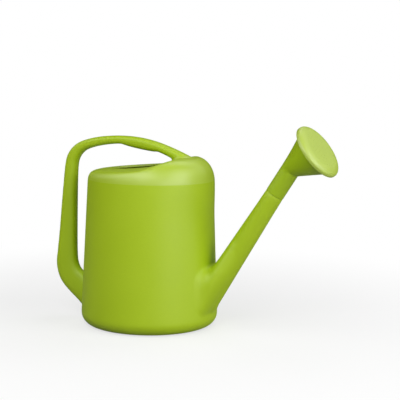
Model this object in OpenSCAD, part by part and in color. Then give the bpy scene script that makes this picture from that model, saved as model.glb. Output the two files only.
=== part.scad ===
// Ten-litre watering can in moulded plastic: a round tapering tank, a swooping hood with the
// filler mouth behind it, a hollow looped handle, a long spout and a push-on rose.
// Millimetres. +Z up, +X towards the spout, the origin at the middle of the base.

/* [Tank] */
// Radius of the tank wall, carried down to the floor
base_r = 120; // [110:1:130]
// Radius of the tank wall at the shoulder
shoulder_r = 109.4; // [100:0.2:112]
// Height of the shoulder, where the hood starts to curve in
shoulder_h = 248; // [230:1:270]
// Height of the seam between the tank and the hood
seam_h = 190; // [150:1:220]
// Radius of the rounded edge between the floor and the wall
base_round = 21; // [12:1:30]
// Wall of the tank, the hood and the spout
wall = 2.5; // [2:0.1:4]

/* [Hood] */
// Rise of the hood above the shoulder
hood_rise = 46; // [30:1:60]
// How far the hood curves in from the shoulder to its top
hood_depth = 36; // [24:1:46]
// How far the front of the hood stands out past the tapering wall
front_bulge = 2.6; // [0:0.2:6]
// Height of the deck above the shoulder, at the middle of the can
deck_rise = 26; // [20:0.2:34]
// Rise of the deck towards the spout, per millimetre
deck_slope = 0.09; // [0:0.01:0.12]
// Crown of the deck across the can
deck_crown = 3.5; // [0:0.5:8]
// Strength of the swoop from the deck up to the hood
swoop = 0.0345; // [0.01:0.001:0.06]
// Where the swoop starts
swoop_x = 12; // [0:1:30]
// Radius of the filler mouth
mouth_r = 45; // [30:1:50]
// Place of the mouth's centre, behind the middle of the can
mouth_x = -20; // [-35:1:-5]
// Depth of the mouth's turned-down lip
lip_depth = 5; // [3:0.5:8]

/* [Handle] */
// Width of the handle
handle_w = 26; // [20:1:34]
// Wall of the hollow handle
handle_wall = 2.5; // [2:0.1:4]
// How far the handle's upright stands out behind the base
handle_reach = 42; // [34:1:55]
// Height of the handle's top above the shoulder
handle_rise = 72; // [64:1:85]
// How far the grip swells below the handle
grip_swell = 5; // [0:0.5:9]

/* [Spout] */
// Tilt of the spout above the horizontal
spout_tilt = 57.9; // [50:0.1:62]
// Height at which the spout's axis comes out of the tank
spout_z = 60; // [55:1:70]
// How far inside the tank's wall the axis is at that height
spout_in = 4; // [0:0.5:8]
// Radius of the spout there
spout_r = 22.2; // [18:0.1:26]
// Length of the spout from there to the rose
spout_len = 213; // [160:1:260]
// Radius of the spout where the rose meets it
spout_tip_r = 15.8; // [15:0.1:18]
// Half width of the flare where the spout leaves the tank
flare_w = 43; // [30:1:48]
// Radius of the spigot inside the rose's sleeve
spigot_r = 12.4; // [10:0.1:13]
// Length of the spigot
spigot_len = 32; // [20:1:40]

/* [Rose] */
// Outer radius of the rose's sleeve
sleeve_r = 16.1; // [16:0.1:19]
// Length of the sleeve, up to the bend
sleeve_len = 43.2; // [38:0.1:60]
// How far the sleeve runs on past the bend before it opens out
sleeve_over = 4; // [1:0.5:6]
// Bend of the rose, down from the spout's line
rose_bend = 22.3; // [0:0.1:40]
// Turn of the rose on the spout
rose_turned = -18.5; // [-90:0.5:90]
// Length from the bend to the front of the face
rose_len = 72; // [60:0.5:90]
// Radius of the funnel where it meets the face
funnel_r = 42.2; // [36:0.5:52]
// Wall of the funnel
funnel_wall = 2.4; // [1.6:0.1:3]
// Overhang of the face's rim past the funnel
rim_over = 6.6; // [3.5:0.1:8]
// Width of the rim's rounded front, in from its side
round_w = 16; // [10:0.5:20]
// Depth of that rounded front
round_depth = 8; // [5:0.5:9]
// Depth of the whole rim, front to back
rim_depth = 11; // [10:0.5:14]
// Thickness of the face plate
face_t = 2.2; // [1.6:0.1:3]
// Radius of each spray hole
hole_r = 0.6; // [0.4:0.1:1]
// Spacing of the rings of spray holes
hole_pitch = 6.4; // [5:0.1:8]
// Number of rings of spray holes around the middle one
hole_rings = 5; // [3:1:6]

/* [Seal] */
// Thickness of the seal ring's round section
seal_t = 2.2; // [1.6:0.1:2.6]
// Distance of the seal from the sleeve's open end
seal_at = 12; // [6:1:16]

/* [Clearances] */
// Running gap between the spigot and the sleeve, and around the seal
run_gap = 0.08; // [0.02:0.01:0.1]
// Gap between faces that meet at the rose's joints
face_gap = 0.3; // [0.1:0.1:0.5]
// Gap between the handle's cut ends and the can
joint_gap = 0.05; // [0.02:0.01:0.2]

/* [Hidden] */
lime = [0.62, 0.76, 0.14];
eps = 0.01;

// The tank's wall tapers in a straight line from the floor to the shoulder.
taper = (base_r - shoulder_r) / shoulder_h;
slant = sqrt(1 + taper * taper);
function wall_r(z) = base_r - taper * z;
function smooth(t) = let (u = min(1, max(0, t))) u * u * (3 - 2 * u);
function mix(a, b, t) = a + (b - a) * t;
// Lower of two heights, with the crossing rounded over k.
function soft_min(a, b, k) = let (h = max(k - abs(a - b), 0) / k) min(a, b) - h * h * k / 4;
function signed_pow(v, p) = sign(v) * pow(abs(v), p);

// The hood's own surface, as rings of points around the can: rows up the wall, over the dome to
// its crest, and in over the deck to the filler mouth.
hood_sides = 72;
wall_rows = 3;
dome_rows = 9;
deck_rows = 5;
dome_power = 0.93;
// Rounding between the dome and the deck, at its front and at the back of the can.
crest_round = [5, 24];
crest_x = [30, 10 - shoulder_r];
function front(z, a) =
    front_bulge * smooth((z - seam_h) / (shoulder_h - seam_h)) * pow(max(0, cos(a)), 3);
function deck_z(x, y) =
    shoulder_h + deck_rise + deck_slope * x + deck_crown * (1 - pow(y / shoulder_r, 2))
    + swoop * pow(max(0, x - swoop_x), 1.5);
function crest_k(x) =
    mix(crest_round[0], crest_round[1], smooth((crest_x[0] - x) / (crest_x[0] - crest_x[1])));
function wall_point(z, a, inset) =
    let (r = wall_r(z) + front(z, a) - inset) [r * cos(a), r * sin(a), z];
function dome_point(f, a, inset) =
    let (r = shoulder_r + front(shoulder_h, a) - inset - hood_depth * (1 - pow(cos(f), dome_power)),
         x = r * cos(a), y = r * sin(a),
         top = shoulder_h + (hood_rise - inset) * pow(sin(f), dome_power))
    [x, y, soft_min(top, deck_z(x, y) - inset, crest_k(x))];
function deck_point(t, a, inset) =
    let (edge = dome_point(90, a, inset), r = mouth_r + inset,
         x = mix(edge[0], mouth_x + r * cos(a), t), y = mix(edge[1], r * sin(a), t))
    [x, y, soft_min(shoulder_h + hood_rise, deck_z(x, y), crest_k(x)) - inset];
function around(f) = [for (i = [0 : hood_sides - 1]) f(360 * i / hood_sides)];
function hood_skin(inset) = [
    for (i = [0 : wall_rows - 1])
        around(function (a) wall_point(mix(seam_h, shoulder_h, i / wall_rows), a, inset)),
    for (i = [0 : dome_rows]) around(function (a) dome_point(90 * i / dome_rows, a, inset)),
    for (i = [1 : deck_rows]) around(function (a) deck_point(i / deck_rows, a, inset))
];
function dropped(ring, dz) = [for (p = ring) p - [0, 0, dz]];
function backwards(list) = [for (i = [len(list) - 1 : -1 : 0]) list[i]];

// The spout's line starts inside the tank, where its lower side leaves the tank's inner wall.
spout_x = wall_r(spout_z) - spout_in;
spout_dir = [cos(spout_tilt), 0, sin(spout_tilt)];
spout_k = (spout_tip_r - spout_r) / spout_len;
function spout_outer(s) = spout_r + spout_k * s;
port_clear = 4;
spout_root = (base_r - wall - port_clear - spout_x - (spout_r - wall) * sin(spout_tilt)) / cos(spout_tilt);
// Solid end of the spout's tube, around the spigot.
tip_wall = 6;

// The rose is bent down from the spout's line at this distance along it, and turned about it.
funnel_at = spout_len + sleeve_len;
bore_r = spigot_r + run_gap;
seal_ring_r = spigot_r + run_gap / 2 + seal_t / 2;
groove_r = seal_ring_r + seal_t / 2 + run_gap;
groove_w = seal_t + 2 * run_gap;

// The face is a cap: its rim reaches back over the flange of the funnel.
rim_r = funnel_r + rim_over;
skirt_r = rim_r - face_t;
flange_r = skirt_r - run_gap;
flange_t = 2;
round_steps = 12;

// Thickness of the thin discs that hulls are drawn between, and the step where the funnel starts.
disc = 0.2;
sleeve_step = 0.3;

// Sides of the round shapes: the tank, the tubes and the cap, the funnel, and the smallest rounds.
tank_fn = 180;
tube_fn = 96;
hull_fn = 64;
small_fn = 32;

// Stations of the handle's middle line, each x, z and the depth of the handle across the line,
// measured from the part of the can that they follow.
function from(x, z, stations) = [for (p = stations) [x + p[0], z + p[1], p[2]]];
handle_x = -base_r - handle_reach;
handle_z = shoulder_h + handle_rise;
handle_line = concat(
    // The foot, in the tank's wall.
    from(-base_r, 0, [[16, 28, 48], [-2.5, 45.2, 46]]),
    // The bend up into the upright.
    from(handle_x, 0, [[21, 60.2, 44.5], [6.7, 75, 43], [0.2, 94, 40.4], [0.1, 115, 36.2]]),
    // The upright, thinner towards the top.
    from(handle_x, shoulder_h, [[2, -93, 31], [4, -48, 27], [6.5, -3, 23], [8.6, 24, 21], [12.6, 39, 20.4]]),
    // The bend forward, then the flat top over the mouth.
    from(handle_x, handle_z, [[22, -20.4, 19], [37, -11.3, 17], [66, -3.7, 15.6]]),
    from(0, handle_z, [[-60, 0, 14], [-28, -1.4, 14.4], [2, -6.6, 14.7]]),
    // The end, down into the hood.
    from(shoulder_r, shoulder_h + hood_rise, [[-79.4, 10.7, 15.3], [-51.4, -1.2, 17.4], [-25.4, -13.8, 18.5]])
);
line_end = len(handle_line) - 1;
line_steps = 3;
handle_sides = 20;
// Squareness of the handle's section: 1 is an ellipse and less is squarer.
handle_power = 0.72;
// The grip swells between these two stations.
swell_from = 14.2;
swell_to = 16.5;
swell_power = 0.6;
function spline(a, b, c, d, t) =
    b + 0.5 * t * ((c - a) + t * ((2 * a - 5 * b + 4 * c - d) + t * (3 * (b - c) + d - a)));
function station(u) =
    let (i = min(line_end - 1, floor(u)), p = function (k) handle_line[max(0, min(line_end, k))])
    spline(p(i - 1), p(i), p(i + 1), p(i + 2), u - i);
// One section of the handle: a rounded oblong across its line, deeper below where the grip swells.
function handle_ring(u, inset) =
    let (c = station(u), v = station(min(line_end, u + 0.05)) - station(max(0, u - 0.05)),
         n = [-v[1], v[0]] / norm([v[0], v[1]]),
         along = (u - swell_from) / (swell_to - swell_from),
         swell = along > 0 && along < 1 ? grip_swell * pow(sin(180 * along), swell_power) : 0)
    [for (i = [0 : handle_sides - 1])
        let (a = 360 * i / handle_sides, up = signed_pow(sin(a), handle_power),
             half = c[2] / 2 + (up < 0 ? swell : 0) - inset)
        [c[0] + n[0] * half * up, (handle_w / 2 - inset) * signed_pow(cos(a), handle_power),
         c[1] + n[1] * half * up]];

module revolved_tank(inset) {
    round_r = base_round - inset;
    side_r = base_r - inset * slant;
    round_x = side_r - taper * base_round - round_r * slant;
    rotate_extrude($fn = tank_fn) {
        polygon([
            [0, inset], [round_x, inset],
            [round_x + round_r / slant, base_round + round_r * taper / slant],
            [side_r - taper * seam_h, seam_h + (inset > 0 ? eps : 0)],
            [0, seam_h + (inset > 0 ? eps : 0)]
        ]);
        translate([round_x, base_round]) intersection() {
            circle(round_r, $fn = tank_fn);
            translate([-round_x, -base_round]) square([base_r, base_round + round_r]);
        }
    }
}

// Rings of points joined into one closed skin, the last ring back to the first.
module ring_skin(rings) {
    n = len(rings[0]);
    m = len(rings);
    polyhedron(
        points = [for (ring = rings) each ring],
        faces = [for (j = [0 : m - 1], i = [0 : n - 1])
            let (k = (i + 1) % n, o = ((j + 1) % m) * n)
            each [[j * n + i, o + i, o + k], [j * n + i, o + k, j * n + k]]]
    );
}

// The whole space under the hood's skin, down to the seam.
module hood_filled(grow) {
    rings = hood_skin(-grow);
    n = hood_sides;
    m = len(rings);
    polyhedron(
        points = [for (ring = rings) each ring],
        faces = concat(
            [for (j = [0 : m - 2], i = [0 : n - 1])
                let (k = (i + 1) % n, o = (j + 1) * n)
                each [[j * n + i, o + i, o + k], [j * n + i, o + k, j * n + k]]],
            [[for (i = [0 : n - 1]) i]],
            [[for (i = [n - 1 : -1 : 0]) (m - 1) * n + i]]
        )
    );
}

module handle_sweep(inset) {
    n = handle_sides;
    for (i = [0 : line_end * line_steps - 1])
        hull() {
            polyhedron(
                points = concat(handle_ring(i / line_steps, inset), handle_ring((i + 1) / line_steps, inset)),
                faces = [
                    [for (j = [0 : n - 1]) j], [for (j = [n - 1 : -1 : 0]) n + j],
                    for (j = [0 : n - 1]) let (k = (j + 1) % n) each [[j, n + j, n + k], [j, n + k, k]]
                ]
            );
        }
}

// Moves a shape drawn along +Z to its place on the spout's line.
module on_spout(s) {
    translate([spout_x, 0, spout_z] + spout_dir * s) rotate([0, 90 - spout_tilt, 0]) children();
}

// Moves a shape drawn along +Z to the rose's bent end: its origin is the middle of the face.
module on_face() {
    on_spout(funnel_at) rotate([0, 0, rose_turned]) rotate([0, rose_bend, 0])
        translate([0, 0, rose_len]) children();
}

// The water's way through the spout, from its port in the tank to the end of the spigot.
module spout_bore() {
    on_spout(spout_root - 1)
        cylinder(h = spout_len - tip_wall - spout_root + 1, r1 = spout_outer(spout_root - 1) - wall,
                 r2 = spout_outer(spout_len - tip_wall) - wall, $fn = tube_fn);
    on_spout(0) cylinder(h = spout_len + spigot_len + 1, r = spigot_r - wall, $fn = tube_fn);
}

module tank() {
    color(lime) difference() {
        revolved_tank(0);
        revolved_tank(wall);
        spout_bore();
    }
}

module hood() {
    color(lime) {
        outer = hood_skin(0);
        inner = hood_skin(wall);
        edge = outer[len(outer) - 1];
        ring_skin(concat(outer, [dropped(edge, lip_depth)],
                         [dropped(inner[len(inner) - 1], lip_depth - wall)], backwards(inner)));
    }
}

module handle() {
    color(lime) difference() {
        handle_sweep(0);
        handle_sweep(handle_wall);
        hood_filled(joint_gap);
        revolved_tank(-joint_gap);
    }
}

// Widening of the spout's root against the tank, in slices from the wall outwards: distance out,
// share of the flare's width, half height and lift above the spout's line.
flare_steps = [[0, 1, 31, 10], [9, 0.42, 36, 4.5], [26, -0.06, 37, 0]];
flare_in = 12;
module flare_slice(step) {
    half_w = mix(spout_r, flare_w, step[1]);
    x = base_r - flare_in + step[0];
    translate([x, 0, spout_z + (x - spout_x) * tan(spout_tilt) + step[3]]) rotate([0, 90, 0])
        linear_extrude(disc) scale([step[2] / half_w, 1]) circle(half_w, $fn = small_fn);
}

module spout() {
    color(lime) difference() {
        union() {
            on_spout(spout_root)
                cylinder(h = spout_len - spout_root, r1 = spout_outer(spout_root), r2 = spout_tip_r,
                         $fn = tube_fn);
            on_spout(spout_len - eps) cylinder(h = spigot_len + eps, r = spigot_r, $fn = tube_fn);
            for (i = [0 : len(flare_steps) - 2])
                hull() {
                    flare_slice(flare_steps[i]);
                    flare_slice(flare_steps[i + 1]);
                }
        }
        spout_bore();
        revolved_tank(0);
    }
}

module rose_seal() {
    color("dimgray") on_spout(spout_len + seal_at)
        rotate_extrude($fn = tube_fn) translate([seal_ring_r, 0]) circle(seal_t / 2, $fn = small_fn);
}

// The funnel's own surface, from a small step out of the sleeve to the flange under the face.
module funnel_skin(inset, top) {
    hull() {
        on_spout(funnel_at + sleeve_over - disc - inset)
            cylinder(h = disc, r = sleeve_r + sleeve_step - inset, $fn = hull_fn);
        on_face() translate([0, 0, top - rim_depth - disc])
            cylinder(h = disc, r = funnel_r - inset, $fn = hull_fn);
    }
}

module rose_funnel() {
    color(lime) difference() {
        union() {
            on_spout(spout_len + face_gap)
                cylinder(h = sleeve_len + sleeve_over + disc - face_gap, r = sleeve_r, $fn = tube_fn);
            funnel_skin(0, flange_t / 2);
            on_face() translate([0, 0, -rim_depth]) cylinder(h = flange_t, r = flange_r, $fn = tube_fn);
        }
        funnel_skin(funnel_wall, flange_t + 1);
        on_spout(spout_len - 1) cylinder(h = sleeve_len + sleeve_over + 1, r = bore_r, $fn = tube_fn);
        on_spout(spout_len + seal_at - groove_w / 2) cylinder(h = groove_w, r = groove_r, $fn = tube_fn);
    }
}

// The face plate and its rounded rim: points of its section from the middle out to the rim.
function face_edge(inset) = [
    [0, -inset],
    for (i = [0 : round_steps]) let (a = 90 * (1 - i / round_steps))
        [rim_r - round_w + (round_w - inset) * cos(a), -round_depth + (round_depth - inset) * sin(a)],
    [rim_r - inset, -rim_depth]
];
module rose_face() {
    color(lime) on_face() difference() {
        rotate_extrude($fn = tube_fn) polygon(concat(face_edge(0), backwards(face_edge(face_t))));
        for (ring = [0 : hole_rings], i = [0 : max(0, 6 * ring - 1)])
            rotate([0, 0, ring == 0 ? 0 : 60 * i / ring]) translate([ring * hole_pitch, 0, -face_t - 1])
                cylinder(h = face_t + 2, r = hole_r, $fn = small_fn);
    }
}

tank();
hood();
handle();
spout();
rose_seal();
rose_funnel();
rose_face();
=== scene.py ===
import math

import bmesh
import bpy
from mathutils import Matrix, Vector


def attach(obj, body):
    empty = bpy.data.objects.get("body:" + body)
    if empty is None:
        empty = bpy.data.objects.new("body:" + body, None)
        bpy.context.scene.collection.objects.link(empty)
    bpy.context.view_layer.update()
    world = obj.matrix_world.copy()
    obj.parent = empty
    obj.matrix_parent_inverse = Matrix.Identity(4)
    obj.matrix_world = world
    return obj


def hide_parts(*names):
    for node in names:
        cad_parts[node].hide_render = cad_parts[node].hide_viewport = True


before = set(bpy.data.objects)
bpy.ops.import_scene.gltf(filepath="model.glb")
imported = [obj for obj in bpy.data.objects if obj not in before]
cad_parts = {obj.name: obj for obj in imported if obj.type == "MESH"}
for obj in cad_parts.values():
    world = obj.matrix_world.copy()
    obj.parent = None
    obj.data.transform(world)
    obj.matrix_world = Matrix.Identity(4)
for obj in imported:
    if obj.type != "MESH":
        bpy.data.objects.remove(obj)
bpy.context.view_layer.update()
print("frame loaded:", sorted(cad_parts))


# working habits: what an operator works on is picked first, and a modifier is applied at once

def pickOnly(*objs):
    if bpy.context.object and bpy.context.object.mode != "OBJECT":
        bpy.ops.object.mode_set(mode="OBJECT")
    bpy.ops.object.select_all(action="DESELECT")
    for obj in objs:
        obj.select_set(True)
    bpy.context.view_layer.objects.active = objs[0] if objs else None


def applyMod(obj, kind, **settings):
    pickOnly(obj)
    mod = obj.modifiers.new(kind.title(), kind)
    for key, value in settings.items():
        setattr(mod, key, value)
    bpy.ops.object.modifier_apply(modifier=mod.name)


def mix(a, b, t):
    return a + (b - a) * t


def smoothStep(t):
    u = min(1.0, max(0.0, t))
    return u * u * (3 - 2 * u)


def signedPow(v, p):
    return math.copysign(abs(v) ** p, v)


def turns(count):
    return [2 * math.pi * i / count for i in range(count)]


def extrudeRings(name, rings, closed=True):
    # a filled circle is extruded face by face, and each new face is set on the next ring
    pickOnly()
    bpy.ops.mesh.primitive_circle_add(vertices=len(rings[0]), radius=0.1, fill_type="NGON")
    obj = bpy.context.object
    obj.name = obj.data.name = name
    bpy.ops.object.mode_set(mode="EDIT")
    bpy.ops.mesh.select_mode(type="FACE")
    bpy.ops.mesh.select_all(action="SELECT")
    for i, ring in enumerate(rings):
        if i:
            bpy.ops.mesh.extrude_region_move()
        bm = bmesh.from_edit_mesh(obj.data)
        cap = next(f for f in bm.faces if f.select)
        for corner, place in zip(cap.loops, ring):
            corner.vert.co = place
        bmesh.update_edit_mesh(obj.data)
    if not closed:
        bpy.ops.mesh.delete(type="ONLY_FACE")
    bpy.ops.mesh.select_all(action="SELECT")
    bpy.ops.mesh.remove_doubles(threshold=1e-6)
    bpy.ops.mesh.normals_make_consistent(inside=False)
    bpy.ops.object.mode_set(mode="OBJECT")
    return obj


def cutAway(obj, cutter):
    applyMod(obj, "BOOLEAN", operation="DIFFERENCE", object=cutter, solver="EXACT")
    pickOnly(cutter)
    bpy.ops.object.delete()


# tank and hood: one round wall, with the dome and the deck drawn over it

tank = {"baseR": 0.120, "shoulderR": 0.1094, "shoulderZ": 0.248, "seamZ": 0.190, "baseRound": 0.021,
        "wall": 0.0025, "sides": 200, "footRows": 12, "footTurn": 92.4, "wallRows": 20, "wallFrom": 0.004}
hood = {"rise": 0.046, "depth": 0.036, "bulge": 0.0026, "deckRise": 0.026, "deckSlope": 0.09,
        "crown": 0.0035, "swoop": 0.0345, "swoopX": 0.012, "power": 0.93, "rows": 24, "deckRows": 12,
        "crestRound": (0.005, 0.024), "crestX": 0.030, "crestBack": 0.010,
        "ridgeHalf": 0.012, "ridgeFrom": 0.215, "ridgeTo": 70, "ridgeRise": 0.0004}
mouth = {"r": 0.045, "x": -0.020, "lip": 0.0034, "edge": 0.0020, "rows": 5, "capR": 0.012,
         "past": 0.002, "above": (0.003, 0.008)}
taper = (tank["baseR"] - tank["shoulderR"]) / tank["shoulderZ"]


def wallR(z):
    return tank["baseR"] - taper * z


def frontBulge(z, a):
    k = smoothStep((z - tank["seamZ"]) / (tank["shoulderZ"] - tank["seamZ"]))
    return hood["bulge"] * k * max(0.0, math.cos(a)) ** 3


def ridged(r, z, a):
    # the handle's band runs on down the front of the hood as a flat strip
    k = smoothStep((z - hood["ridgeFrom"]) / (tank["shoulderZ"] - hood["ridgeFrom"]))
    edge = math.asin(hood["ridgeHalf"] / r)
    turn = abs((a + math.pi) % (2 * math.pi) - math.pi)
    if turn > edge:
        return r
    return mix(r, r * math.cos(edge) / math.cos(turn) + hood["ridgeRise"], k)


def deckZ(x, y):
    swoop = hood["swoop"] * (max(0.0, x - hood["swoopX"]) * 1000) ** 1.5 / 1000
    return (tank["shoulderZ"] + hood["deckRise"] + hood["deckSlope"] * x
            + hood["crown"] * (1 - (y / tank["shoulderR"]) ** 2) + swoop)


def crestK(x):
    lo, hi = hood["crestBack"] - tank["shoulderR"], hood["crestX"]
    return mix(hood["crestRound"][0], hood["crestRound"][1], smoothStep((hi - x) / (hi - lo)))


def softMin(a, b, k):
    h = max(k - abs(a - b), 0.0) / k
    return min(a, b) - h * h * k / 4


def deckTop(x, y):
    return softMin(tank["shoulderZ"] + hood["rise"], deckZ(x, y), crestK(x))


def wallPoint(z, a, inset):
    r = ridged(wallR(z) + frontBulge(z, a) - inset, z, a)
    return Vector((r * math.cos(a), r * math.sin(a), z))


def domePoint(f, a, inset):
    shoulder = tank["shoulderR"] + frontBulge(tank["shoulderZ"], a) - inset
    r = shoulder - hood["depth"] * (1 - max(0.0, math.cos(f)) ** hood["power"])
    if f < math.radians(hood["ridgeTo"]):
        r = ridged(r, tank["shoulderZ"], a)
    x, y = r * math.cos(a), r * math.sin(a)
    top = tank["shoulderZ"] + (hood["rise"] - inset) * math.sin(f) ** hood["power"]
    return Vector((x, y, softMin(top, deckZ(x, y) - inset, crestK(x))))


def deckPoint(r, a, inset):
    x, y = mouth["x"] + r * math.cos(a), r * math.sin(a)
    return Vector((x, y, deckTop(x, y) - inset))


def around(place):
    return [place(a) for a in turns(tank["sides"])]


def canRings(inset, deckTo):
    rings = []
    roundR = tank["baseRound"] - inset
    roundX = tank["baseR"] - taper * tank["baseRound"] - tank["baseRound"]
    for i in range(tank["footRows"] + 1):  # rounded foot
        t = math.radians(-90 + tank["footTurn"] * i / tank["footRows"])
        r, z = roundX + roundR * math.cos(t), tank["baseRound"] + roundR * math.sin(t)
        rings.append(around(lambda a: Vector((r * math.cos(a), r * math.sin(a), z))))
    for i in range(1, tank["wallRows"]):
        z = mix(tank["baseRound"] + tank["wallFrom"], tank["shoulderZ"], i / tank["wallRows"])
        rings.append(around(lambda a: wallPoint(z, a, inset)))
    for i in range(hood["rows"] + 1):
        f = math.radians(90 * i / hood["rows"])
        rings.append(around(lambda a: domePoint(f, a, inset)))
    edge, inner = rings[-1], around(lambda a: deckPoint(deckTo, a, inset))
    for i in range(1, hood["deckRows"] + 1):  # deck, in towards the mouth
        t = i / hood["deckRows"]
        flat = [(mix(p.x, q.x, t), mix(p.y, q.y, t)) for p, q in zip(edge, inner)]
        rings.append([Vector((x, y, deckTop(x, y) - inset)) for x, y in flat])
    return rings


shell = extrudeRings("canShell", canRings(0, mouth["capR"]))  # closed until the hollow opens the mouth
print("tank and hood drawn:", len(shell.data.polygons), "faces")


# handle: an oblong section carried along its middle line, which is given as (x, z, thickness) in mm

handle = {"width": 0.0275, "spare": 0.0001, "power": 0.70, "egg": 0.12, "sides": 44, "steps": 8,
          "nudge": 0.05, "grip": 0.005, "gripFrom": 14.2, "gripTo": 16.5, "gripPower": 0.6,
          "line": [(-104, 28, 48), (-122.5, 45.2, 46), (-141, 60.2, 44.5), (-155.3, 75, 43),
                   (-161.8, 94, 40.4), (-161.9, 115, 36.2), (-160, 155, 31), (-158, 200, 27),
                   (-155.5, 245, 23), (-153.4, 272, 21), (-149.4, 287, 20.4), (-140, 299.6, 19),
                   (-125, 308.7, 17), (-96, 316.3, 15.6), (-60, 320, 14), (-28, 318.6, 14.4),
                   (2, 313.4, 14.7), (30, 304.7, 15.3), (58, 292.8, 17.4), (84, 280.2, 18.5)]}
lastStation = len(handle["line"]) - 1


def handleAt(u):
    # a smooth curve through the line's points: u counts them from the lower end
    line = [Vector(p) / 1000 for p in handle["line"]]
    i = min(lastStation - 1, int(u))
    a, b, c, d = (line[max(0, min(lastStation, k))] for k in (i - 1, i, i + 1, i + 2))
    t = u - i
    return b + 0.5 * t * ((c - a) + t * ((2 * a - 5 * b + 4 * c - d) + t * (3 * (b - c) + d - a)))


def handleRing(u):
    mid = handleAt(u)
    way = handleAt(min(lastStation, u + handle["nudge"])) - handleAt(max(0, u - handle["nudge"]))
    side = Vector((-way[1], way[0])).normalized()
    along = (u - handle["gripFrom"]) / (handle["gripTo"] - handle["gripFrom"])
    swell = handle["grip"] * math.sin(math.pi * along) ** handle["gripPower"] if 0 < along < 1 else 0
    ring = []
    for a in turns(handle["sides"]):
        up = signedPow(math.sin(a), handle["power"])
        half = mid[2] / 2 + handle["spare"] + (swell if up < 0 else 0)
        halfW = handle["width"] / 2 * (1 - handle["egg"] * (0.5 - up / 2))  # narrower towards the fingers
        ring.append(Vector((mid[0] + side[0] * half * up, halfW * signedPow(math.cos(a), handle["power"]),
                            mid[1] + side[1] * half * up)))
    return ring


stations = [i / handle["steps"] for i in range(lastStation * handle["steps"] + 1)]
loop = extrudeRings("handleLoop", [handleRing(u) for u in stations])
print("handle drawn")


# spout: a tapered tube with a widened root

spout = {"tilt": math.radians(57.9), "start": Vector((0.1134355, 0, 0.060)), "r": 0.0222, "tipR": 0.0158,
         "len": 0.213, "wall": 0.0025, "sides": 96, "rings": (-0.02, 0.02, 0.07, 0.12, 0.17, 0.205),
         "spigotR": 0.0124, "spigotLen": 0.032, "spigotEdge": 0.001,
         "boreSides": 64, "boreEnds": (-0.012, 0.200, 0.207), "borePast": 0.005,
         "flareX": 0.108, "flareRound": 0.024, "flareSquare": 0.46, "flareShoulder": 0.004, "flareSides": 64,
         # slices through the root: out from the wall, half width, low and high
         "flare": [(0, 0.0500, 0.017, 0.1070), (0.0025, 0.0452, 0.018, 0.1078),
                   (0.0068, 0.0433, 0.024, 0.108), (0.0112, 0.0414, 0.031, 0.1095),
                   (0.0180, 0.0395, 0.042, 0.1165), (0.0270, 0.0355, 0.0574, 0.1305),
                   (0.0420, 0.0270, 0.0825, 0.153), (0.0570, 0.0190, 0.108, 0.175)]}
spoutWay = Vector((math.cos(spout["tilt"]), 0, math.sin(spout["tilt"])))
spoutUp = Vector((-math.sin(spout["tilt"]), 0, math.cos(spout["tilt"])))


def onSpout(s, r, sides=spout["sides"]):
    mid = spout["start"] + spoutWay * s
    return [mid + (spoutUp * math.cos(a) + Vector((0, 1, 0)) * math.sin(a)) * r for a in turns(sides)]


def spoutR(s):
    return mix(spout["r"], spout["tipR"], s / spout["len"])


tube = extrudeRings("spoutTube", [onSpout(s, spoutR(s)) for s in spout["rings"]])


def flareSlice(out, halfW, low, high):
    # an upright slice through the root: flat on top, with its sides drawn in along the spout
    share = 1 - smoothStep(out / spout["flareRound"])
    square = mix(1.0, spout["flareSquare"], share)
    ring = []
    for a in turns(spout["flareSides"]):
        across, up = signedPow(math.sin(a), square), signedPow(math.cos(a), square)
        lift = spout["flareShoulder"] * share * math.sin(math.pi * abs(across)) * max(0.0, up)
        ring.append(Vector((spout["flareX"] + out, halfW * across, mix(low, high, (up + 1) / 2) + lift)))
    return ring


flareParts = []
for first, second in zip(spout["flare"], spout["flare"][1:]):
    part = extrudeRings("flarePart", [flareSlice(*first), flareSlice(*second)])
    pickOnly(part)
    bpy.ops.object.mode_set(mode="EDIT")
    bpy.ops.mesh.select_all(action="SELECT")
    bpy.ops.mesh.convex_hull()
    bpy.ops.object.mode_set(mode="OBJECT")
    flareParts.append(part)
print("spout drawn")


# the hood's two colours are a little paler than the tank's, to even out the satin's stronger reflection, and
# bluer, which is painted sheen
plastic = {"tone": (0.405, 0.569, 0.0038, 1), "deep": (0.374, 0.532, 0.0033, 1),
           "paintedSheen": (0.415, 0.572, 0.010, 1), "deepPaintedSheen": (0.388, 0.540, 0.009, 1),
           "matt": {"rough": 0.48, "specular": 0.55, "ior": 1.5, "bump": 0.30,
                    "streak": 1.2, "stretch": (0.4, 0.4, 1.5)},
           "satin": {"rough": 0.46, "specular": 1.0, "ior": 1.6, "bump": 0.04,
                     "streak": 0.3, "stretch": (1, 1, 1)},
           "plain": {"rough": 0.45, "specular": 0.5, "ior": 1.5, "bump": 0.04,
                     "streak": 0.3, "stretch": (1, 1, 1)},
           "lineZ": 0.2543, "standOff": (0.003, 0.002), "wallFade": (0.0006, 0.0018), "bulgeSpare": 1.1,
           "cloud": 16.0, "cloudSpan": (0.35, 0.65), "roughSpread": 0.03,
           "grain": 620.0, "grainDepth": 0.0003}


# one moulding: everything above is melted together, smoothed, and then hollowed

moulding = {"voxel": 0.0024, "smooth": 7, "tipCut": 0.190, "tipReach": 0.03, "drawn": (0.1925, 0.203),
            "tipEdge": 0.0006, "crease": math.radians(38)}

pickOnly(shell, loop, tube, *flareParts)
bpy.ops.object.join()
canBody = bpy.context.object
canBody.name = canBody.data.name = "canBody"
applyMod(canBody, "REMESH", mode="VOXEL", voxel_size=moulding["voxel"])
applyMod(canBody, "SMOOTH", factor=0.5, iterations=moulding["smooth"])
print("moulding melted together:", len(canBody.data.polygons), "faces")

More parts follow.
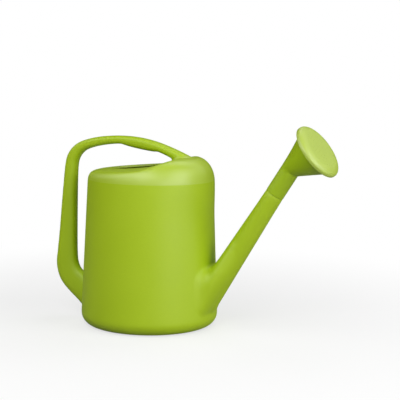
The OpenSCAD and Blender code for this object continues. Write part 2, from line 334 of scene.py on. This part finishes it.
# the tube's end is cut square and drawn out again, so that the joint and the spigot are crisp
pickOnly(canBody)
bpy.ops.object.mode_set(mode="EDIT")
bpy.ops.mesh.select_all(action="SELECT")
bpy.ops.mesh.bisect(plane_co=spout["start"] + spoutWay * moulding["tipCut"], plane_no=spoutWay,
                    clear_outer=False, clear_inner=False, use_fill=False)
bpy.ops.mesh.select_mode(type="VERT")
bpy.ops.mesh.select_all(action="DESELECT")
bm = bmesh.from_edit_mesh(canBody.data)
for v in bm.verts:
    gap = v.co - spout["start"]
    s = gap.dot(spoutWay)
    v.select = s > moulding["tipCut"] + 1e-5 and (gap - spoutWay * s).length < moulding["tipReach"]
bm.select_flush_mode()
bpy.ops.mesh.delete(type="VERT")
bpy.ops.mesh.select_non_manifold(extend=False)


def drawTo(s, r):
    bpy.ops.mesh.extrude_edges_move()
    bm = bmesh.from_edit_mesh(canBody.data)
    for v in bm.verts:
        if v.select:
            gap = v.co - spout["start"]
            out = gap - spoutWay * gap.dot(spoutWay)
            v.co = spout["start"] + spoutWay * s + out.normalized() * r
    bmesh.update_edit_mesh(canBody.data)


endS, edge = spout["len"], moulding["tipEdge"]
turned = edge * 0.3  # halfway round the tube's rounded edge
tip = spout["spigotLen"] + spout["len"]
for s in (*moulding["drawn"], endS - edge):
    drawTo(s, spoutR(s))
for s, r in ((endS - turned, spoutR(endS) - turned), (endS, spoutR(endS) - edge),
             (endS, spout["spigotR"]), (tip - spout["spigotEdge"], spout["spigotR"]),
             (tip, spout["spigotR"] - spout["spigotEdge"])):
    drawTo(s, r)
bpy.ops.mesh.edge_face_add()
bpy.ops.mesh.select_all(action="SELECT")
bpy.ops.mesh.normals_make_consistent(inside=False)
bpy.ops.object.mode_set(mode="OBJECT")

# the hollow: the wall's inner side, a lip below the mouth, and a rounded edge out over the rim
def mouthRing(r, drop):
    return around(lambda a: deckPoint(r, a, 0) - Vector((0, 0, drop)))


inner = canRings(tank["wall"], mouth["r"] + tank["wall"])
inner.append(mouthRing(mouth["r"] + tank["wall"], mouth["lip"]))
inner.append(mouthRing(mouth["r"], mouth["lip"]))
for i in range(mouth["rows"] + 1):
    t = math.radians(90 * i / mouth["rows"])
    r = mouth["r"] + mouth["edge"] * (1 - math.cos(t))
    inner.append(mouthRing(r, mouth["edge"] * (1 - math.sin(t))))
for above in mouth["above"]:
    inner.append(mouthRing(mouth["r"] + mouth["edge"] + mouth["past"], -above))
hollow = extrudeRings("hollow", inner)
cutAway(canBody, hollow)
boreR = spout["spigotR"] - spout["wall"]
rootEnd, narrowFrom, narrowTo = spout["boreEnds"]
bore = extrudeRings("bore", [onSpout(s, r, spout["boreSides"]) for s, r in (
    (rootEnd, spoutR(0) - spout["wall"]), (narrowFrom, spoutR(narrowFrom) - spout["wall"]),
    (narrowTo, boreR), (tip + spout["borePast"], boreR))])
cutAway(canBody, bore)
pickOnly(canBody)
bpy.ops.object.mode_set(mode="EDIT")
bpy.ops.mesh.select_all(action="SELECT")
bpy.ops.mesh.bisect(plane_co=(0, 0, plastic["lineZ"]), plane_no=(0, 0, 1))  # where the grain ends
bpy.ops.object.mode_set(mode="OBJECT")
bpy.ops.object.shade_smooth_by_angle(angle=moulding["crease"])
canBody.data.calc_loop_triangles()
print("can body finished:", len(canBody.data.loop_triangles), "triangles")


# rose: a sleeve on the spout, bent down into a funnel, and the pierced face

rose = {"sleeveR": 0.0161, "sleeveLen": 0.0432, "over": 0.004, "bend": math.radians(22.3),
        "turned": math.radians(-18.5), "len": 0.072, "funnelR": 0.0422, "rimOver": 0.0066, "rimDepth": 0.011,
        "wall": 0.0024, "flangeT": 0.002, "boreR": 0.01248, "boreDepth": 0.006, "hollow": 0.0010,
        "hollowSides": (0.55, 0.45), "sides": 128, "rows": 14, "sleeveRows": (0.3, 0.6, 0.9),
        "gap": 0.0003, "edge": 0.0005, "fit": 0.0001, "margin": 0.001, "crease": math.radians(35)}
face = {"roundW": 0.016, "roundDepth": 0.008, "roundRows": 20, "t": 0.0022, "edge": 0.0005,
        "holeR": 0.0006, "holePitch": 0.0064, "holeRings": 5, "holeSides": 12, "holeReach": (0.006, 0.002)}

spoutTurn = Matrix.Rotation(math.radians(90) - spout["tilt"], 3, "Y")
turnedSpout = spoutTurn @ Matrix.Rotation(rose["turned"], 3, "Z")
faceTurn = turnedSpout @ Matrix.Rotation(rose["bend"], 3, "Y")
faceWay = faceTurn @ Vector((0, 0, 1))
bendAt = spout["start"] + spoutWay * (spout["len"] + rose["sleeveLen"])
faceMid = bendAt + faceWay * rose["len"]
rimR = rose["funnelR"] + rose["rimOver"]
sleeveStart = spout["len"] + rose["gap"]
sleeveEnd = spout["len"] + rose["sleeveLen"] + rose["over"]
flangeR = rimR - face["t"] - rose["fit"]
flangeBack = faceMid - faceWay * rose["rimDepth"]
flangeFront = flangeBack + faceWay * rose["flangeT"]


def ringAt(mid, turn, r, sides=rose["sides"]):
    return [mid + turn @ Vector((r * math.cos(a), r * math.sin(a), 0)) for a in turns(sides)]


def funnelRings(inset):
    low = ringAt(spout["start"] + spoutWay * (sleeveEnd - inset), turnedSpout, rose["sleeveR"] - inset)
    high = ringAt(faceMid - faceWay * (rose["rimDepth"] - rose["margin"]), faceTurn, rose["funnelR"] - inset)
    near, far = rose["hollowSides"]
    rings = []
    for k in range(rose["rows"] + 1):
        t = k / rose["rows"]
        axis = (spout["start"] + spoutWay * sleeveEnd).lerp(flangeBack, t)
        ring = []
        for a, p, q in zip(turns(rose["sides"]), low, high):
            mid = p.lerp(q, t)
            draw = rose["hollow"] * math.sin(math.pi * t) * (near - far * math.cos(a))
            ring.append(mid - (mid - axis).normalized() * draw)
        rings.append(ring)
    return rings


def spoutRing(s, r):
    return ringAt(spout["start"] + spoutWay * s, turnedSpout, r)


outside = [spoutRing(sleeveStart, rose["sleeveR"] - rose["edge"]),
           spoutRing(sleeveStart + rose["edge"], rose["sleeveR"])]
for t in rose["sleeveRows"]:
    s = mix(sleeveStart + rose["edge"], sleeveEnd - rose["margin"], t)
    outside.append(spoutRing(s, rose["sleeveR"]))
outside += funnelRings(0)
outside += [ringAt(flangeBack, faceTurn, flangeR), ringAt(flangeFront, faceTurn, flangeR)]
inside = funnelRings(rose["wall"])
inside.reverse()
inside[0] = ringAt(flangeFront, faceTurn, rose["funnelR"] - rose["wall"])
inside += [spoutRing(sleeveEnd - rose["boreDepth"], rose["boreR"]), spoutRing(sleeveStart, rose["boreR"])]
roseFunnel = extrudeRings("roseFunnel", outside + inside + [outside[0]], closed=False)
pickOnly(roseFunnel)
bpy.ops.object.shade_smooth_by_angle(angle=rose["crease"])
print("rose funnel finished:", len(roseFunnel.data.polygons), "faces")


def faceSection(inset):
    section = [((rimR - face["roundW"]) * 0.5, -inset)]
    for i in range(face["roundRows"] + 1):
        a = math.radians(90 * (1 - i / face["roundRows"]))
        section.append((rimR - face["roundW"] + (face["roundW"] - inset) * math.cos(a),
                        -face["roundDepth"] + (face["roundDepth"] - inset) * math.sin(a)))
    if inset:
        section.append((rimR - inset, -rose["rimDepth"]))
    else:  # the rim's edge is broken on the outside
        section.append((rimR, -rose["rimDepth"] + face["edge"]))
        section.append((rimR - face["edge"], -rose["rimDepth"]))
    return section


front = [ringAt(faceMid + faceWay * z, faceTurn, r) for r, z in faceSection(0)]
back = [ringAt(faceMid + faceWay * z, faceTurn, r) for r, z in reversed(faceSection(face["t"]))]
roseFace = extrudeRings("roseFace", front + back)
pins = []
inward, outward = face["holeReach"]
for ring in range(face["holeRings"] + 1):
    out = ring * face["holePitch"]
    for a in turns(max(1, 6 * ring)):  # one hole in the middle, and six more in each ring
        spot = faceMid + faceTurn @ Vector((out * math.cos(a), out * math.sin(a), 0))
        ends = [ringAt(spot + faceWay * reach, faceTurn, face["holeR"], face["holeSides"])
                for reach in (-inward, outward)]
        pins.append(extrudeRings("hole", ends))
pickOnly(*pins)
bpy.ops.object.join()
cutAway(roseFace, bpy.context.object)
pickOnly(roseFace)
bpy.ops.object.shade_smooth_by_angle(angle=rose["crease"])
print("rose face finished:", len(roseFace.data.polygons), "faces")


# plastic and rubber

# the funnel's tone is darker than the can's, which is painted shade, and the face's tone is paler and bluer,
# which is painted highlight and sheen
roseShadeAndHighlightTones = {"funnel": ((0.36, 0.52, 0.0042, 1), (0.335, 0.49, 0.0036, 1)),
             "face": ((0.43, 0.56, 0.05, 1), (0.405, 0.535, 0.044, 1))}
seal = {"black": (0.012, 0.012, 0.012, 1), "dusty": (0.03, 0.03, 0.029, 1), "rough": (0.5, 0.7),
        "dust": 400.0, "bump": 0.15, "bumpDepth": 0.0002}


def newMaterial(name):
    mat = bpy.data.materials.new(name)
    mat.use_nodes = True
    tree = mat.node_tree
    coords = tree.nodes.new("ShaderNodeTexCoord").outputs["Object"]
    return mat, tree, tree.nodes["Principled BSDF"], coords


def addNode(tree, kind, **sockets):
    node = tree.nodes.new(kind)
    for key, value in sockets.items():
        node.inputs[key.replace("_", " ")].default_value = value
    return node


def mathNode(tree, operation, first, second):
    node = tree.nodes.new("ShaderNodeMath")
    node.operation = operation
    for socket, value in zip(node.inputs, (first, second)):
        if isinstance(value, (int, float)):
            socket.default_value = value
        else:
            tree.links.new(value, socket)
    return node.outputs[0]


def rangeNode(tree, value, fromMin, fromMax, toMin, toMax, soft=False):
    node = addNode(tree, "ShaderNodeMapRange", From_Min=fromMin, From_Max=fromMax, To_Min=toMin, To_Max=toMax)
    if soft:
        node.interpolation_type = "SMOOTHSTEP"
    tree.links.new(value, node.inputs["Value"])
    return node.outputs["Result"]


def noiseNode(tree, coords, scale, detail):
    node = addNode(tree, "ShaderNodeTexNoise", Scale=scale, Detail=detail)
    tree.links.new(coords, node.inputs["Vector"])
    return node.outputs["Fac"]


def toneNode(tree, share, first, second):
    node = tree.nodes.new("ShaderNodeMix")
    node.data_type = "RGBA"
    node.inputs[6].default_value, node.inputs[7].default_value = first, second
    tree.links.new(share, node.inputs[0])
    return node.outputs[2]


def bumpNode(tree, shader, height, strength, depth):
    node = addNode(tree, "ShaderNodeBump", Strength=strength, Distance=depth)
    tree.links.new(height, node.inputs["Height"])
    tree.links.new(node.outputs["Normal"], shader.inputs["Normal"])
    return node


def wallShare(tree, coords):
    # 1 on the tank's own wall, with its front bulge, and 0 away from it, along the spout and the handle
    split = tree.nodes.new("ShaderNodeSeparateXYZ")
    tree.links.new(coords, split.inputs[0])
    x, y, z = split.outputs
    squares = [mathNode(tree, "MULTIPLY", side, side) for side in (x, y)]
    flat = mathNode(tree, "SQRT", mathNode(tree, "ADD", *squares), 0.0)
    wall = mathNode(tree, "SUBTRACT", tank["baseR"], mathNode(tree, "MULTIPLY", z, taper))
    bulge = rangeNode(tree, z, tank["seamZ"], tank["shoulderZ"], 0.0, hood["bulge"] * plastic["bulgeSpare"])
    gap = mathNode(tree, "SUBTRACT", mathNode(tree, "SUBTRACT", flat, wall), bulge)
    return rangeNode(tree, gap, *plastic["wallFade"], 1.0, 0.0, soft=True)


def limePlastic(name, tones, finish):
    # cloudy colour and roughness, and a fine grain that is drawn out sideways on the matt wall
    mat, tree, shader, coords = newMaterial(name)
    shader.inputs["IOR"].default_value = finish["ior"]
    shader.inputs["Specular IOR Level"].default_value = finish["specular"]
    cloud = noiseNode(tree, coords, plastic["cloud"], detail=3.0)
    stretch = addNode(tree, "ShaderNodeMapping", Scale=finish["stretch"])
    tree.links.new(coords, stretch.inputs["Vector"])
    grain = noiseNode(tree, stretch.outputs["Vector"], plastic["grain"], detail=2.0)
    streak = mathNode(tree, "MULTIPLY", mathNode(tree, "SUBTRACT", grain, 0.5), finish["streak"])
    bump = bumpNode(tree, shader, grain, finish["bump"], plastic["grainDepth"])
    if finish is plastic["matt"]:
        share = wallShare(tree, coords)
        streak = mathNode(tree, "MULTIPLY", streak, share)
        strength = rangeNode(tree, share, 0.0, 1.0, plastic["satin"]["bump"], finish["bump"])
        tree.links.new(strength, bump.inputs["Strength"])
    colour = toneNode(tree, mathNode(tree, "ADD", cloud, streak), tones[1], tones[0])
    tree.links.new(colour, shader.inputs["Base Color"])
    smoother, rougher = finish["rough"] - plastic["roughSpread"], finish["rough"] + plastic["roughSpread"]
    rough = rangeNode(tree, cloud, *plastic["cloudSpan"], smoother, rougher)
    tree.links.new(rough, shader.inputs["Roughness"])
    return mat


def sealRubber():
    mat, tree, shader, coords = newMaterial("sealRubber")
    dust = noiseNode(tree, coords, seal["dust"], detail=3.0)
    tree.links.new(toneNode(tree, dust, seal["black"], seal["dusty"]), shader.inputs["Base Color"])
    tree.links.new(rangeNode(tree, dust, 0.0, 1.0, *seal["rough"]), shader.inputs["Roughness"])
    bumpNode(tree, shader, dust, seal["bump"], seal["bumpDepth"])
    return mat


def dress(obj, *mats):
    obj.data.materials.clear()
    for mat in mats:
        obj.data.materials.append(mat)


dress(canBody, limePlastic("canSatinPaintedSheen", (plastic["paintedSheen"], plastic["deepPaintedSheen"]), plastic["satin"]),
      limePlastic("canMatt", (plastic["tone"], plastic["deep"]), plastic["matt"]))
# the hood is satin, and the paler, bluer colour of its material is painted sheen; the tank below the shoulder
# line, the spout and the handle are matt
higher, wider = plastic["standOff"]
for poly in canBody.data.polygons:
    x, y, z = poly.center
    standsOff = z > deckTop(x, y) + higher or math.hypot(x, y) > tank["shoulderR"] + hood["bulge"] + wider
    poly.material_index = 1 if standsOff or z < plastic["lineZ"] else 0
# the funnel wears painted shade in its colour, and the face wears a painted highlight and sheen
dress(roseFunnel, limePlastic("funnelShadedPlastic", roseShadeAndHighlightTones["funnel"], plastic["plain"]))
dress(roseFace, limePlastic("faceLitPlastic", roseShadeAndHighlightTones["face"], plastic["satin"]))
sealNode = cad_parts["rose_seal"]
rubber = sealRubber()
if not sealNode.data.materials:
    sealNode.data.materials.append(rubber)
for slot in sealNode.material_slots:
    slot.material = rubber

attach(canBody, "can")
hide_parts("tank", "hood", "handle", "spout")
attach(roseFunnel, "rose")
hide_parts("rose_funnel")
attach(roseFace, "face")
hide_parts("rose_face")
print("pieces dressed and carried")


# studio: a pale floor, soft lamps, and the camera

studio = {"floorSize": 14.0, "floorDrop": 0.0004, "floorTone": (0.9, 0.9, 0.9, 1),
          "floorBounce": (0.30, 0.30, 0.30, 1), "floorRough": 0.9, "floorSpecular": 0.1,
          "shadowShare": 0.35, "fade": (0.25, 0.9), "worldLight": 0.0,
          "sensor": 36, "lens": 104.992, "cameraPlace": (0.820874, -1.843713, 0.464529),
          "cameraTurn": (1.449273, -0.014925, 0.378055),
          "aim": Vector((0.05, 0, 0.17)), "lampSize": 1.4,
          "lamps": {"keyLeft": ((0.302, -1.867, 1.489), 20.0),
                    "keyRight": ((1.919, -0.239, 1.489), 15.5),
                    "sideLeft": ((-1.092, -1.499, 1.489), 11.5),
                    "farLeft": ((-1.745, -0.573, 1.489), 3.5),
                    "topLeft": ((-0.604, -0.859, 2.201), 6.5),
                    "lowFront": ((1.735, -1.533, 0.49), 8.9),
                    "lowRight": ((2.157, -0.864, 0.49), 11.7),
                    "lowFar": ((2.288, 0.423, 0.49), 8.3),
                    "rimRight": ((1.318, 1.394, 1.489), 4.8),
                    "rimTop": ((0.196, 1.141, 2.162), 8.8),
                    "backFill": ((-1.782, 0.317, 1.320), 2.0)}}

pickOnly()
bpy.ops.mesh.primitive_plane_add(size=studio["floorSize"], location=(0, 0, -studio["floorDrop"]))
floor = bpy.context.object
floor.name = "studioFloor"
floorMat, tree, shader, coords = newMaterial("studioFloor")
path = tree.nodes.new("ShaderNodeLightPath")
tone = toneNode(tree, path.outputs["Is Camera Ray"], studio["floorBounce"], studio["floorTone"])
tree.links.new(tone, shader.inputs["Base Color"])
shader.inputs["Roughness"].default_value = studio["floorRough"]
shader.inputs["Specular IOR Level"].default_value = studio["floorSpecular"]
glow = addNode(tree, "ShaderNodeEmission", Color=(1, 1, 1, 1), Strength=1.0)
reach = tree.nodes.new("ShaderNodeVectorMath")
reach.operation = "LENGTH"
tree.links.new(coords, reach.inputs[0])
near, far = studio["fade"]  # the floor turns plain white away from the can
fade = rangeNode(tree, reach.outputs["Value"], near, far, 1 - studio["shadowShare"], 1.0, soft=True)
share = mathNode(tree, "MULTIPLY", path.outputs["Is Camera Ray"], fade)
blend = tree.nodes.new("ShaderNodeMixShader")
for source, socket in zip((share, shader.outputs[0], glow.outputs[0]), blend.inputs):
    tree.links.new(source, socket)
tree.links.new(blend.outputs[0], tree.nodes["Material Output"].inputs["Surface"])
floor.data.materials.append(floorMat)

world = bpy.data.worlds.new("studioWorld")
bpy.context.scene.world = world
world.use_nodes = True
tree = world.node_tree
tree.nodes.clear()
soft = addNode(tree, "ShaderNodeBackground", Color=(1, 1, 1, 1), Strength=studio["worldLight"])
white = addNode(tree, "ShaderNodeBackground", Color=(1, 1, 1, 1), Strength=1.0)
path = tree.nodes.new("ShaderNodeLightPath")
blend = tree.nodes.new("ShaderNodeMixShader")
output = tree.nodes.new("ShaderNodeOutputWorld")
for source, socket in zip((path.outputs["Is Camera Ray"], soft.outputs[0], white.outputs[0]), blend.inputs):
    tree.links.new(source, socket)
tree.links.new(blend.outputs[0], output.inputs["Surface"])

for name, (place, power) in studio["lamps"].items():
    data = bpy.data.lights.new(name, "AREA")
    data.shape = "DISK"
    data.size = studio["lampSize"]
    data.energy = power
    lamp = bpy.data.objects.new(name, data)
    lamp.location = place
    lamp.rotation_euler = (studio["aim"] - Vector(place)).to_track_quat("-Z", "Y").to_euler()
    bpy.context.scene.collection.objects.link(lamp)

camData = bpy.data.cameras.new("camera")
camData.sensor_width = studio["sensor"]
camData.lens = studio["lens"]
camera = bpy.data.objects.new("camera", camData)
camera.location = studio["cameraPlace"]
camera.rotation_euler = studio["cameraTurn"]
bpy.context.scene.collection.objects.link(camera)
bpy.context.scene.camera = camera
bpy.context.scene.view_settings.view_transform = "Standard"
print("studio set")

bpy.context.view_layer.update()
